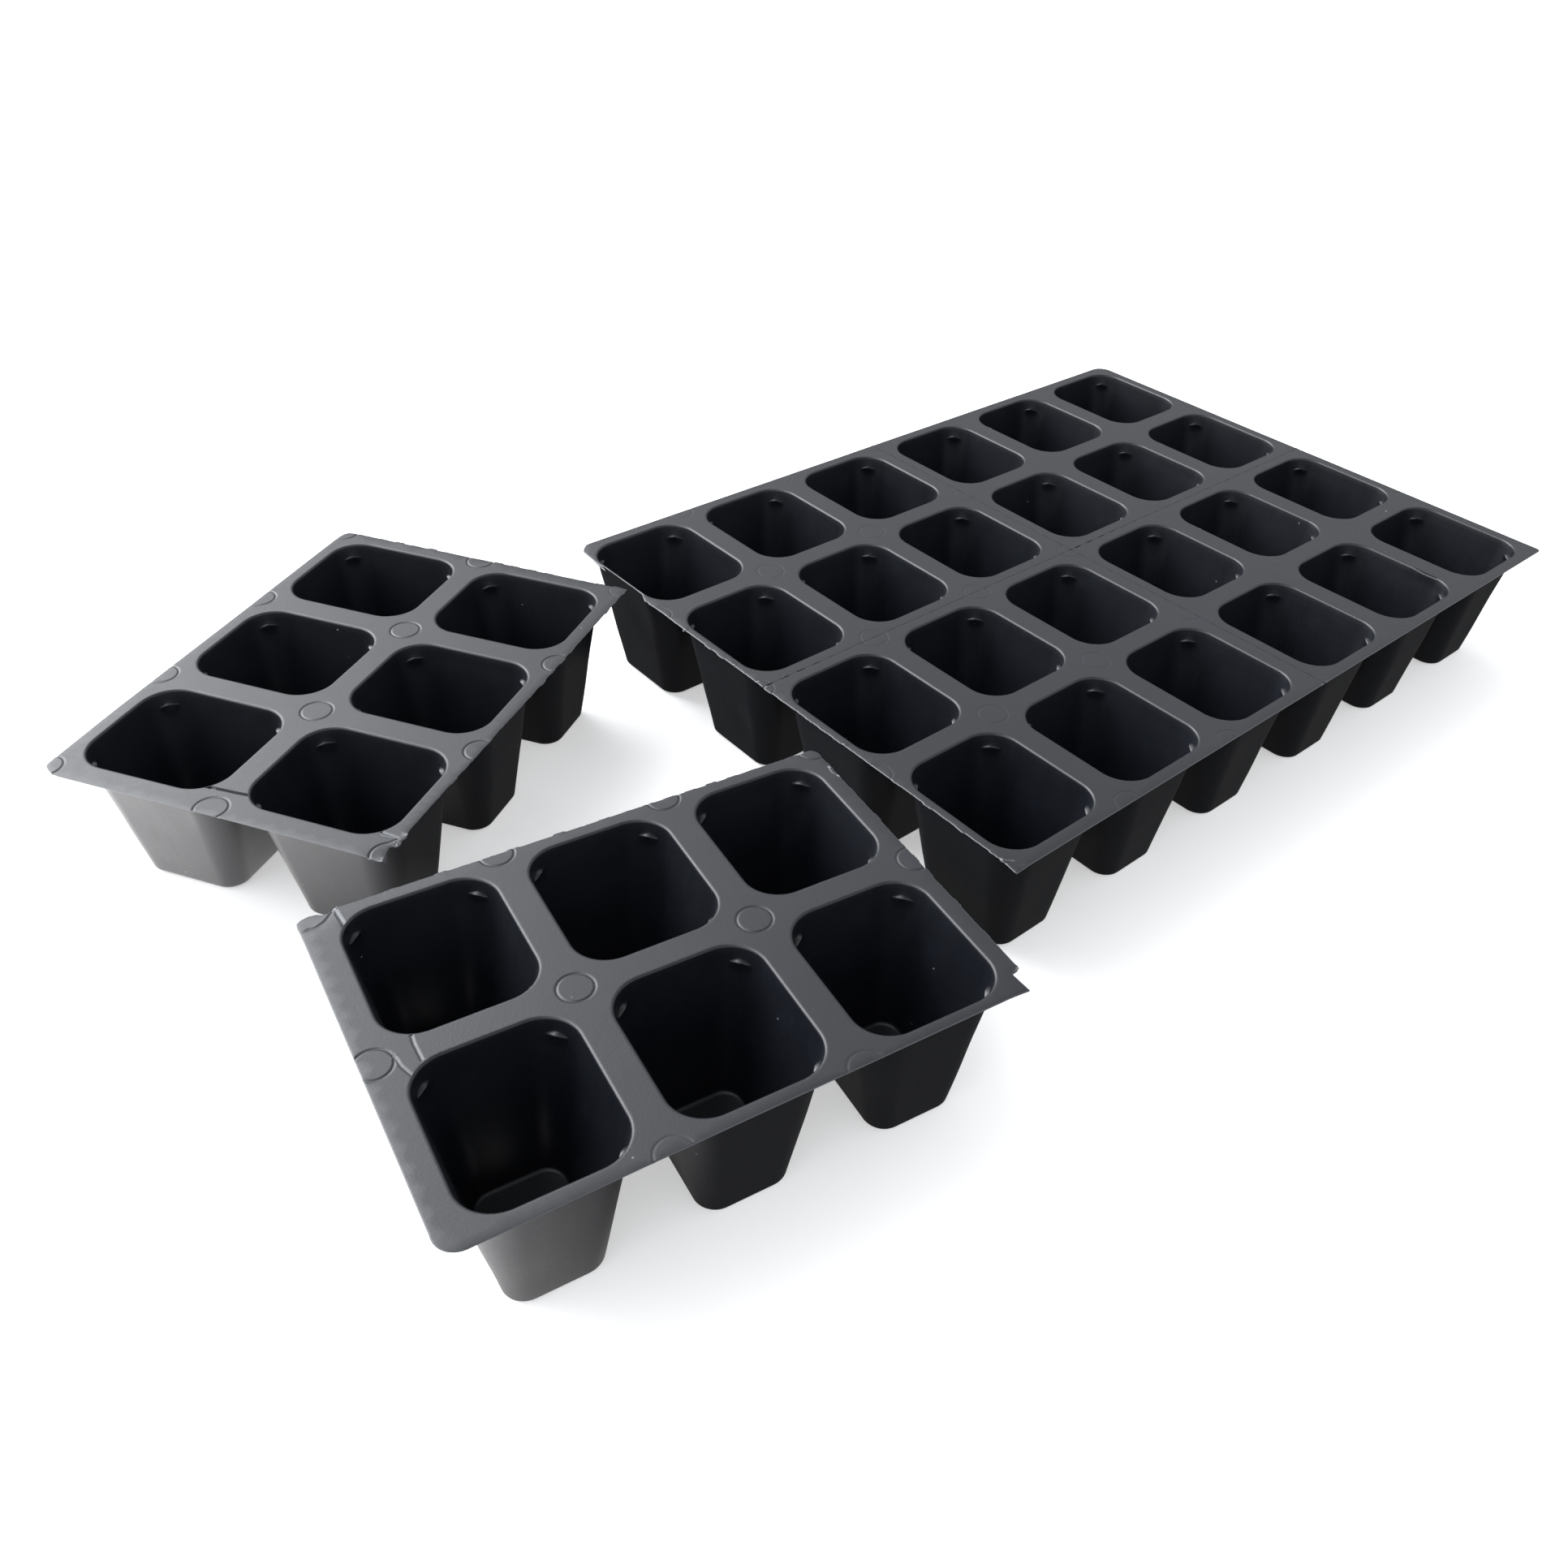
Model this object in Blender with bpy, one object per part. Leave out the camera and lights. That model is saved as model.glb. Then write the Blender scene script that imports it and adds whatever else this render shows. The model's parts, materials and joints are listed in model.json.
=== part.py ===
"""Plug tray: a formed plastic sheet of 4 x 9 cells, made of six 2 x 3 packs on snap lines.

Four packs are still joined to each other and two have been snapped off and lie beside them.
Every pack is one formed skin, so each is one object: a deck, six cells, feet and drain holes.
Lengths are in metres. +X runs along the joined packs' long side and +Z is up.
The tray stands on z = 0, and the middle of its bounding box is at x = 0, y = 0.
"""
import math

import bmesh
import bpy
from mathutils import Matrix, Vector

MM = 0.001

# Driving dimensions of the sheet
HEIGHT = 55 * MM            # bench to the deck's top face
GAUGE = 0.6 * MM            # thickness of the formed sheet
PITCH_X = 58.5 * MM         # cell to cell along the sheet
PITCH_Y = 66 * MM           # cell to cell across the sheet
COLUMNS = 3                 # cells in one pack along the sheet
ROWS = 2                    # cells in one pack across the sheet

# One cell, measured inside
MOUTH = (47.5 * MM, 55.8 * MM)
MOUTH_RADIUS = 12 * MM
FLOOR = (29.4 * MM, 39 * MM)
FLOOR_RADIUS = 7 * MM
FOOT_BEVEL = 1.6 * MM       # rounded edge where the walls meet the floor
DRAIN_RADIUS = 4 * MM
LUG_DEPTH = 5.4 * MM        # deck to the small ledge in each corner that keeps nested trays apart
LUG_LEDGE = 1.3 * MM        # how far the ledge stands out from the rounded corner
LUG_TAPER = 7 * MM          # height over which it fades into the wall below
ARC_STEPS = 3               # straight steps in each rounded corner

# Snap lines between the joined packs
SNAP_GAP = 0.3 * MM
SNAP_FROM_BASE_X = 30.8 * MM     # last cell's centre to the snap line, on the base pack's side
SNAP_FROM_END_X = 29.1 * MM      # the same on the end pack's side
SNAP_FROM_CELL_Y = 33.25 * MM    # cell centre to the snap line across the sheet

# Deck margins, from the nearest cell centres to the deck's edges
LONG_EDGE = 33.5 * MM
FAR_END = 29 * MM
NEAR_END = 32.6 * MM
SNAPPED_BLOCK_END = 27.5 * MM
SNAPPED_LOOSE_END = 30.8 * MM
SNAPPED_LEFT_SIDE = 34.5 * MM
SNAPPED_FRONT_SIDE = 32 * MM
SHEET_CORNER_RADIUS = 7 * MM     # the trimmed corners of the sheet
SNAPPED_CORNER_CUT = 3.5 * MM    # a snapped-off corner loses its tip
JOINED_CORNER_CUT = 0            # corners at the crossing of two snap lines stay square

# Where the two loose packs lie: middle of the pack from the base pack's first cell, and turn
LOOSE_LEFT_PLACE = (-138.7 * MM, 2.9 * MM)
LOOSE_LEFT_TURN = math.radians(31.1)
LOOSE_FRONT_PLACE = (-135.7 * MM, -190.5 * MM)
LOOSE_FRONT_TURN = math.radians(-10.1)

# Cell grid of the joined packs
FIRST_END_X = (COLUMNS - 1) * PITCH_X + SNAP_FROM_BASE_X + SNAP_FROM_END_X
FIRST_SIDE_Y = -(ROWS - 1) * PITCH_Y - 2 * SNAP_FROM_CELL_Y
SNAP_LINE_X = (COLUMNS - 1) * PITCH_X + SNAP_FROM_BASE_X
SNAP_LINE_Y = -(ROWS - 1) * PITCH_Y - SNAP_FROM_CELL_Y
HALF_GRID_X = (COLUMNS - 1) / 2 * PITCH_X
HALF_GRID_Y = (ROWS - 1) / 2 * PITCH_Y


def clear_scene():
    for obj in list(bpy.data.objects):
        bpy.data.objects.remove(obj, do_unlink=True)


def tray_plastic(name, colour):
    material = bpy.data.materials.new(name)
    material.use_nodes = True
    shader = material.node_tree.nodes["Principled BSDF"]
    shader.inputs["Base Color"].default_value = (*colour, 1)
    shader.inputs["Roughness"].default_value = 0.5
    shader.inputs["Metallic"].default_value = 0
    return material


def corner_arc(corner, sign_x, sign_y, radius, steps):
    """Points round one corner, anticlockwise, for a corner that points to (sign_x, sign_y)."""
    start = math.atan2(sign_y, sign_x) - math.pi / 4
    middle = Vector((corner[0] - sign_x * radius, corner[1] - sign_y * radius))
    angles = [start + step / steps * math.pi / 2 for step in range(steps + 1)]
    return [middle + radius * Vector((math.cos(a), math.sin(a))) for a in angles]


CORNER_SIGNS = [(-1, -1), (1, -1), (1, 1), (-1, 1)]


def cell_ring(bm, centre, size, radius, z):
    """One rounded rectangle of a cell, as a list with the points of each of its corners."""
    ring = []
    for sign_x, sign_y in CORNER_SIGNS:
        corner = (centre[0] + sign_x * size[0] / 2, centre[1] + sign_y * size[1] / 2)
        arc = corner_arc(corner, sign_x, sign_y, radius, ARC_STEPS)
        ring.append([bm.verts.new((p.x, p.y, z)) for p in arc])
    return ring


def drain_ring(bm, centre, z):
    """The drain hole's edge, with as many points as a cell ring and in the same order."""
    ring = []
    for sign_x, sign_y in CORNER_SIGNS:
        middle = math.atan2(sign_y, sign_x)
        points = []
        for step in range(ARC_STEPS + 1):
            count = len(CORNER_SIGNS) * (ARC_STEPS + 1)
            angle = middle + (step - ARC_STEPS / 2) * 2 * math.pi / count
            x = centre[0] + DRAIN_RADIUS * math.cos(angle)
            y = centre[1] + DRAIN_RADIUS * math.sin(angle)
            points.append(bm.verts.new((x, y, z)))
        ring.append(points)
    return ring


def bridge(bm, upper, lower):
    """Faces between two rings, seen from inside the cell."""
    above = [v for arc in upper for v in arc]
    below = [v for arc in lower for v in arc]
    for i in range(len(above)):
        j = (i + 1) % len(above)
        bm.faces.new((above[i], above[j], below[j], below[i]))


def deck_tile(bm, mouth, centre, tile, outline_corners):
    """The deck round one mouth, out to the tile's rectangle or to the sheet's own corner."""
    low_x, high_x, low_y, high_y = tile
    rims = []
    for arc, (sign_x, sign_y), own_corner in zip(mouth, CORNER_SIGNS, outline_corners):
        edge_x = high_x if sign_x > 0 else low_x
        edge_y = high_y if sign_y > 0 else low_y
        on_side_x = (edge_x, centre[1] + sign_y * (MOUTH[1] / 2 - MOUTH_RADIUS))
        on_side_y = (centre[0] + sign_x * (MOUTH[0] / 2 - MOUTH_RADIUS), edge_y)
        # anticlockwise order: the side met first depends on the corner
        first, last = (on_side_x, on_side_y) if sign_x * sign_y > 0 else (on_side_y, on_side_x)
        points = [first, *(own_corner or [(edge_x, edge_y)]), last]
        rim = [bm.verts.new((x, y, HEIGHT)) for x, y in points]
        rims.append(rim)
        bm.faces.new(rim + list(reversed(arc)))
    for here in range(len(rims)):
        after = (here + 1) % len(rims)
        bm.faces.new((rims[here][-1], rims[after][0], mouth[after][0], mouth[here][-1]))


def grow(size, amount):
    return (size[0] + 2 * amount, size[1] + 2 * amount)


def wall_ring(bm, centre, depth):
    """The tapered wall's section at some depth below the deck."""
    share = depth / (HEIGHT - GAUGE - FOOT_BEVEL)
    size = [top + share * (low - top) for top, low in zip(MOUTH, FLOOR)]
    radius = MOUTH_RADIUS + share * (FLOOR_RADIUS - MOUTH_RADIUS)
    return cell_ring(bm, centre, size, radius, HEIGHT - depth)


def push_corners_in(ring, amount):
    """Moves each corner's inner points towards the cell's middle, which makes the lugs."""
    for arc, signs in zip(ring, CORNER_SIGNS):
        inwards = -Vector((*signs, 0)).normalized()
        for vert in arc[1:-1]:
            vert.co += amount * inwards


def add_cell(bm, centre, tile, outline_corners):
    """One open cell: mouth, tapered walls with a lug in each corner, foot and drained floor."""
    mouth = wall_ring(bm, centre, 0)
    above_lug = wall_ring(bm, centre, LUG_DEPTH)
    lug = wall_ring(bm, centre, LUG_DEPTH + LUG_LEDGE / 4)
    push_corners_in(lug, LUG_LEDGE)
    below_lug = wall_ring(bm, centre, LUG_DEPTH + LUG_TAPER)
    wall_end = cell_ring(bm, centre, FLOOR, FLOOR_RADIUS, GAUGE + FOOT_BEVEL)
    foot = cell_ring(bm, centre, grow(FLOOR, -FOOT_BEVEL), FLOOR_RADIUS - FOOT_BEVEL, GAUGE)
    drain = drain_ring(bm, centre, GAUGE)
    rings = [mouth, above_lug, lug, below_lug, wall_end, foot, drain]
    for upper, lower in zip(rings, rings[1:]):
        bridge(bm, upper, lower)
    deck_tile(bm, mouth, centre, tile, outline_corners)


def deck_corner(margins, sign_x, sign_y, cut):
    """The sheet's own corner of a pack: a radius, a snapped-off tip or a square corner."""
    kind, size = cut
    x = HALF_GRID_X + margins["+x"] if sign_x > 0 else -HALF_GRID_X - margins["-x"]
    y = HALF_GRID_Y + margins["+y"] if sign_y > 0 else -HALF_GRID_Y - margins["-y"]
    if size == 0:
        return [(x, y)]
    steps = ARC_STEPS if kind == "round" else 1
    return [(p.x, p.y) for p in corner_arc((x, y), sign_x, sign_y, size, steps)]


def pack_outline(pack):
    corners = []
    for (sign_x, sign_y), cut in zip(CORNER_SIGNS, pack["corners"]):
        corners.append(deck_corner(pack["margins"], sign_x, sign_y, cut))
    return corners


def pack_mesh(name, pack):
    """The pack's skin about the middle of its cells: deck top and the insides of its cells."""
    margins = pack["margins"]
    outline = pack_outline(pack)
    bm = bmesh.new()
    for column in range(COLUMNS):
        for row in range(ROWS):
            x = column * PITCH_X - HALF_GRID_X
            y = row * PITCH_Y - HALF_GRID_Y
            low_x = x - (margins["-x"] if column == 0 else PITCH_X / 2)
            high_x = x + (margins["+x"] if column == COLUMNS - 1 else PITCH_X / 2)
            low_y = y - (margins["-y"] if row == 0 else PITCH_Y / 2)
            high_y = y + (margins["+y"] if row == ROWS - 1 else PITCH_Y / 2)
            own = []
            for (sign_x, sign_y), corner in zip(CORNER_SIGNS, outline):
                last_column = column == (COLUMNS - 1 if sign_x > 0 else 0)
                last_row = row == (ROWS - 1 if sign_y > 0 else 0)
                own.append(corner if last_column and last_row else None)
            add_cell(bm, (x, y), (low_x, high_x, low_y, high_y), own)
    bmesh.ops.remove_doubles(bm, verts=bm.verts, dist=0.01 * MM)
    mesh = bpy.data.meshes.new(name)
    bm.to_mesh(mesh)
    bm.free()
    return mesh


def add_pack(pack, sheet_middle):
    """A pack as one object, with its origin at its joint and its skin thickened outwards."""
    name = pack["name"]
    mesh = pack_mesh(name, pack)
    place = Matrix.Translation((*pack["middle"], 0)) @ Matrix.Rotation(pack["turn"], 4, "Z")
    origin = Matrix.Translation(pack["origin"]) @ Matrix.Rotation(pack["turn"], 4, "Z")
    mesh.transform(origin.inverted() @ place)
    obj = bpy.data.objects.new(name, mesh)
    bpy.context.scene.collection.objects.link(obj)
    obj.location = Vector(pack["origin"]) - Vector((*sheet_middle, 0))
    obj.rotation_euler = (0, 0, pack["turn"])
    obj.data.materials.append(tray_plastic(name + "_plastic", pack["colour"]))
    skin = obj.modifiers.new("gauge", "SOLIDIFY")
    skin.thickness = GAUGE
    skin.offset = -1
    skin.solidify_mode = "NON_MANIFOLD"
    skin.nonmanifold_thickness_mode = "CONSTRAINTS"
    return obj


def margins(low_x, high_x, low_y, high_y):
    return {"-x": low_x, "+x": high_x, "-y": low_y, "+y": high_y}


def packs():
    """Every pack: middle of its cells, margins, corners (anticlockwise from -x -y), origin."""
    half = SNAP_GAP / 2
    sheet = ("round", SHEET_CORNER_RADIUS)
    snapped = ("cut", SNAPPED_CORNER_CUT)
    joined = ("cut", JOINED_CORNER_CUT)
    base_x, end_x = HALF_GRID_X, FIRST_END_X + HALF_GRID_X
    base_y, side_y = -HALF_GRID_Y, FIRST_SIDE_Y - HALF_GRID_Y
    dark = (0.035, 0.037, 0.042)
    light = (0.045, 0.047, 0.052)
    return [
        {"name": "base_pack", "middle": (base_x, base_y), "turn": 0, "colour": dark,
         "margins": margins(SNAPPED_BLOCK_END, SNAP_FROM_BASE_X - half,
                            SNAP_FROM_CELL_Y - half, LONG_EDGE),
         "corners": [joined, joined, joined, snapped],
         "origin": (base_x, base_y, 0)},
        {"name": "end_pack", "middle": (end_x, base_y), "turn": 0, "colour": dark,
         "margins": margins(SNAP_FROM_END_X - half, FAR_END,
                            SNAP_FROM_CELL_Y - half, LONG_EDGE),
         "corners": [joined, joined, sheet, joined],
         "origin": (SNAP_LINE_X, base_y, HEIGHT)},
        {"name": "side_pack", "middle": (base_x, side_y), "turn": 0, "colour": dark,
         "margins": margins(SNAPPED_BLOCK_END, SNAP_FROM_BASE_X - half,
                            LONG_EDGE, SNAP_FROM_CELL_Y - half),
         "corners": [snapped, joined, joined, joined],
         "origin": (base_x, SNAP_LINE_Y, HEIGHT - GAUGE)},
        {"name": "corner_pack", "middle": (end_x, side_y), "turn": 0, "colour": dark,
         "margins": margins(SNAP_FROM_END_X - half, FAR_END,
                            LONG_EDGE, SNAP_FROM_CELL_Y - half),
         "corners": [joined, sheet, joined, joined],
         "origin": (end_x, SNAP_LINE_Y, HEIGHT - GAUGE)},
        {"name": "loose_pack_left", "middle": LOOSE_LEFT_PLACE, "turn": LOOSE_LEFT_TURN,
         "colour": light,
         "margins": margins(NEAR_END, SNAPPED_LOOSE_END, SNAPPED_LEFT_SIDE, LONG_EDGE),
         "corners": [snapped, snapped, snapped, sheet],
         "origin": (*LOOSE_LEFT_PLACE, 0)},
        {"name": "loose_pack_front", "middle": LOOSE_FRONT_PLACE, "turn": LOOSE_FRONT_TURN,
         "colour": light,
         "margins": margins(NEAR_END, SNAPPED_LOOSE_END, LONG_EDGE, SNAPPED_FRONT_SIDE),
         "corners": [sheet, snapped, snapped, snapped],
         "origin": (*LOOSE_FRONT_PLACE, 0)},
    ]


def middle_of(all_packs):
    """Middle of the rectangle, along X and Y, that holds every pack's deck."""
    points = []
    for pack in all_packs:
        turn = Matrix.Rotation(pack["turn"], 2)
        for corner in pack_outline(pack):
            points += [Vector(pack["middle"]) + turn @ Vector(point) for point in corner]
    xs = [point.x for point in points]
    ys = [point.y for point in points]
    return ((min(xs) + max(xs)) / 2, (min(ys) + max(ys)) / 2)


def main():
    clear_scene()
    all_packs = packs()
    sheet_middle = middle_of(all_packs)
    for pack in all_packs:
        add_pack(pack, sheet_middle)


main()
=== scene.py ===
# %% [markdown]
# # A plug tray in Blender
#
# The object is one sheet of dark grey plastic, heated and drawn down into rows of tapered cells.
# Perforated snap lines divide the sheet into packs of two by three cells. Four packs are still
# joined here, and two have been snapped off and lie beside them.
#
# The working frame, with its sizes and its hinges, is loaded first. Everything below only gives
# each pack its true skin: rounded lips, stacking lugs, ring marks, torn edges and creases.

import json
import math

import bmesh
import bpy
import numpy as np
from mathutils import Euler, Matrix, Vector, noise
from mathutils.geometry import delaunay_2d_cdt


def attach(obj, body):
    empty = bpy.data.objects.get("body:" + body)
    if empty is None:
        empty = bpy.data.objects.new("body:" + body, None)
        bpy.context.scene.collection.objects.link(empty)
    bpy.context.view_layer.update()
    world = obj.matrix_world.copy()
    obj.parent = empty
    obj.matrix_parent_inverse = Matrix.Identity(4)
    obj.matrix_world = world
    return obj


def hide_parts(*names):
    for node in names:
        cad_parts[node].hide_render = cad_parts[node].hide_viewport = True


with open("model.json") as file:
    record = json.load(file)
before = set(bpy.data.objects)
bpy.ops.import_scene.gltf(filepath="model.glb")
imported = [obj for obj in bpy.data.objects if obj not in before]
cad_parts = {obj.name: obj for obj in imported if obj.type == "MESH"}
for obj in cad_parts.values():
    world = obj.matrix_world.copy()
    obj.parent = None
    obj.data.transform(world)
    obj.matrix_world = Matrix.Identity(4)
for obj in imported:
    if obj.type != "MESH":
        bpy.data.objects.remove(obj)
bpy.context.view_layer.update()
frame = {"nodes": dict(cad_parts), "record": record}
MM = 0.001

# %% [markdown]
# ## The camera
#
# The tray is seen from above one corner, close by, so the near packs look much larger than the
# far ones. A lens a little wider than normal gives that perspective. The small shift moves the
# picture over the object without tilting the camera, so upright edges keep their slant.

# %% Place the camera
CAMERA_AT = Vector((-343.7, -365.5, 366.2)) * MM
CAMERA_TURN = [math.radians(angle) for angle in (54.862, -2.440, -41.390)]

camera_data = bpy.data.cameras.new("camera")
camera_data.lens = 33.0
camera_data.sensor_width = 36.0
camera_data.shift_x = -0.0456
camera_data.shift_y = -0.0558
camera_data.clip_start = 0.01
camera = bpy.data.objects.new("camera", camera_data)
camera.location = CAMERA_AT
camera.rotation_euler = Euler(CAMERA_TURN, "XYZ")
bpy.context.scene.collection.objects.link(camera)
bpy.context.scene.camera = camera
print("camera is", round(CAMERA_AT.length, 3), "m from the tray's middle")

# %% [markdown]
# ## Where each pack lies
#
# The frame's record holds a box inside nearly every cell, so the middle of a pack and the way it
# is turned come from the boxes of its four end cells. How far its deck reaches comes from its
# own node, turned back square. Shapes are drawn in millimetres in the pack's own square axes,
# with the bench at z = 0, and one matrix then takes them to their place in metres.

# %% Read the packs from the frame
PITCH = Vector((58.5, 66.0))
COLUMNS, ROWS = 3, 2
cell_boxes = {box["name"]: box["box_m"] for box in frame["record"]["physics"]["openings"]}


def cell_middle(body, column, row):
    """Middle of a cell in millimetres. Rows are counted from the +y side."""
    low, high = cell_boxes[f"{body}_cell_{column}_{row}"]
    return Vector(((low[0] + high[0]) / 2, (low[1] + high[1]) / 2)) / MM


class Pack:
    """One pack: its cells' middle, its turn, and how far its deck reaches on each side."""

    def __init__(self, node, body):
        self.node, self.body = node, body
        ends = [cell_middle(body, column, row) for column in (1, COLUMNS) for row in (1, ROWS)]
        self.middle = sum(ends, Vector((0, 0))) / len(ends)
        along = cell_middle(body, COLUMNS, 1) - cell_middle(body, 1, 1)
        self.turn = math.atan2(along.y, along.x)
        back = Matrix.Rotation(-self.turn, 2)
        corners = frame["nodes"][node].data.vertices
        deck = [back @ (corner.co.xy / MM - self.middle) for corner in corners]
        self.low = Vector((min(p.x for p in deck), min(p.y for p in deck)))
        self.high = Vector((max(p.x for p in deck), max(p.y for p in deck)))
        self.place = (Matrix.Scale(MM, 4) @ Matrix.Translation((*self.middle, 0))
                      @ Matrix.Rotation(self.turn, 4, "Z"))
        self.cells = [Vector(((column - (COLUMNS - 1) / 2) * PITCH.x,
                              (row - (ROWS - 1) / 2) * PITCH.y))
                      for column in range(COLUMNS) for row in range(ROWS)]


BODY_OF_NODE = {
    "base_pack": "base", "end_pack": "end", "side_pack": "side", "corner_pack": "corner",
    "loose_pack_left": "loose_left", "loose_pack_front": "loose_front",
}
packs = {node: Pack(node, body) for node, body in BODY_OF_NODE.items()}
DECK_TOP = 55.0
for pack in packs.values():
    print(pack.node, "middle", tuple(round(v, 1) for v in pack.middle),
          "turned", round(math.degrees(pack.turn), 1), "deck", tuple(pack.high - pack.low))

# %% [markdown]
# ## One cell's section
#
# Seen from above, a cell is a rectangle with rounded corners at every depth. It tapers from the
# mouth to the floor, and its corners get tighter on the way down. A ring of points stands for
# one such section, with the same number of points at each depth, so that neighbouring rings
# can be joined face by face.

# %% Draw a rounded rectangle as a ring
MOUTH = Vector((47.5, 55.8))
FLOOR = Vector((29.4, 39.0))
MOUTH_RADIUS = 12.0
FLOOR_RADIUS = 7.0
GAUGE = 0.6
FOOT = 1.6
DEPTH = DECK_TOP - GAUGE
WALL_DEPTH = DEPTH - FOOT
CORNER_STEPS = 16
SIDE_STEPS = 6
CORNER_SIGNS = [(1, 1), (-1, 1), (-1, -1), (1, -1)]


def section(depth):
    """A cell's inside size and corner radius at a depth below the deck."""
    share = min(1.0, depth / WALL_DEPTH)
    return MOUTH.lerp(FLOOR, share), MOUTH_RADIUS + share * (FLOOR_RADIUS - MOUTH_RADIUS)


def rounded_ring(size, radius):
    """Points anticlockwise round a rounded rectangle. Each has its outward direction, and its
    angle from the corner's diagonal, or None on a straight side."""
    ring = []
    for quarter, (sign_x, sign_y) in enumerate(CORNER_SIGNS):
        middle = Vector((sign_x * (size.x / 2 - radius), sign_y * (size.y / 2 - radius)))
        for step in range(CORNER_STEPS + 1):
            angle = (quarter + step / CORNER_STEPS) * math.pi / 2
            out = Vector((math.cos(angle), math.sin(angle)))
            ring.append((middle + radius * out, out, angle - (quarter + 0.5) * math.pi / 2))
        start, out, _ = ring[-1]
        length = (size.x if quarter in (0, 2) else size.y) - 2 * radius
        along = Vector((-out.y, out.x))
        for step in range(1, SIDE_STEPS):
            ring.append((start + step / SIDE_STEPS * length * along, out, None))
    return ring


print("points in one ring:", len(rounded_ring(*section(0))))

# %% [markdown]
# ## The cell's profile, from lip to drain hole
#
# Going down, the sheet rolls over a small lip, runs down the wall, steps in at the stacking lug
# in each corner, carries on down, turns at the foot and ends at the drain hole. Each entry says
# how deep a ring lies, how far it is moved out, how much of the lug it shows, and how far the
# lug's arched top lifts it. Lips and feet follow a quarter circle, because a heated sheet can't
# make a sharp fold.

# %% List the rings of a cell
LIP = 0.8
LIP_STEPS = 4
FOOT_STEPS = 4
LUG_DEPTH = 5.4
LUG_LEDGE = 1.4
LUG_LIFT = 1.1
LUG_SPREAD = math.radians(16)
DRAIN_RADIUS = 4.0
FLOOR_SHARES = (0.5, 0.85, 1.0)

profile = []
for step in range(LIP_STEPS + 1):
    angle = step / LIP_STEPS * math.pi / 2
    profile.append((LIP * (1 - math.cos(angle)), LIP * (1 - math.sin(angle)), 0, 0))
profile += [(3.0, 0, 0, 0), (LUG_DEPTH - 0.15, 0, 0, 1)]
for below, share, lift in [(0, 0.85, 1), (0.25, 1, 1), (0.9, 0.8, 0.8), (1.8, 0.4, 0.6),
                           (3.0, 0.1, 0.3), (4.4, 0, 0)]:
    profile.append((LUG_DEPTH + below, 0, share, lift))
WALL_STEPS = 9
last = profile[-1][0]
for step in range(1, WALL_STEPS + 1):
    profile.append((last + step / WALL_STEPS * (WALL_DEPTH - last), 0, 0, 0))
for step in range(1, FOOT_STEPS + 1):
    angle = step / FOOT_STEPS * math.pi / 2
    profile.append((DEPTH - FOOT * (1 - math.sin(angle)), -FOOT * (1 - math.cos(angle)), 0, 0))
print("rings in one cell:", len(profile))

# %% [markdown]
# ## Thin walls are never quite flat
#
# The sheet thins as it is drawn down, so the walls bow by a few tenths of a millimetre, each one
# differently. Slow noise gives that bow. Some outer walls were also knocked in: a dent is a soft
# push that fades with distance from its middle.

# %% Bow and dent a wall
BOW = 0.45
BOW_LENGTH = 24.0
BOW_PLACE = Vector((3.1, 7.7, 1.3))


class Dent:
    """A push on one wall: where, how far it reaches, and how far it moves the plastic."""

    def __init__(self, at, reach, push):
        self.at, self.reach, self.push = Vector(at), Vector(reach), Vector(push)

    def move(self, point):
        away = point - self.at
        share = sum((a / r) ** 2 for a, r in zip(away, self.reach))
        return point + self.push * (1 - share) ** 2 if share < 1 else point


def bowed(point, out, depth, dents):
    """A wall point after the bow and the dents. The bow is nothing at the lip and the foot."""
    share = max(0, min(1, (depth - LUG_DEPTH) / (WALL_DEPTH - LUG_DEPTH)))
    strength = BOW * math.sin(math.pi * share)
    push = noise.noise(point / BOW_LENGTH + BOW_PLACE) * strength
    point = point + push * Vector((*out, 0))
    for dent in dents:
        point = dent.move(point)
    return point


def cell_rings(centre, dents):
    """All rings of one cell as lists of 3-D points, in the pack's axes."""
    rings = []
    for depth, out_by, lug, lift in profile:
        size, radius = section(depth)
        ring = []
        for flat, out, from_diagonal in rounded_ring(size + Vector((out_by, out_by)) * 2,
                                                     radius + out_by):
            rise = 0.0
            if lift and from_diagonal is not None and abs(from_diagonal) < LUG_SPREAD:
                arch = math.cos(from_diagonal / LUG_SPREAD * math.pi / 2)
                diagonal = Vector((math.copysign(1, flat.x), math.copysign(1, flat.y)))
                flat = flat - LUG_LEDGE * lug * arch ** 0.6 * diagonal.normalized()
                rise = LUG_LIFT * lift * arch
            point = Vector((*(centre + flat), DECK_TOP - depth + rise))
            ring.append(bowed(point, out, depth, dents))
        rings.append(ring)
    foot = rings[-1]
    low = Vector((*centre, GAUGE))
    for share in FLOOR_SHARES:
        ring = []
        for point in foot:
            away = point - low
            hole = low + away.normalized() * DRAIN_RADIUS
            ring.append(point.lerp(hole, share))
        rings.append(ring)
    return rings


test_rings = cell_rings(Vector((0, 0)), [])
print("points in one cell:", sum(len(ring) for ring in test_rings))

# %% [markdown]
# ## The deck's outline
#
# A pack has three kinds of edge. The sheet's own edge was trimmed by a knife and is clean. A
# snap line is a row of slits with ties of plastic between them. Where two packs are still joined
# the slits are nearly closed, and only those by the sheet's edge gape a little. Where packs were
# snapped apart, the slits left smooth stretches and the ties left rough ones, some with a stub.
#
# The outline is walked round with a point every millimetre or so. Both packs at a snap line
# count along the same axis, so that their slits lie opposite each other.

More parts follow.
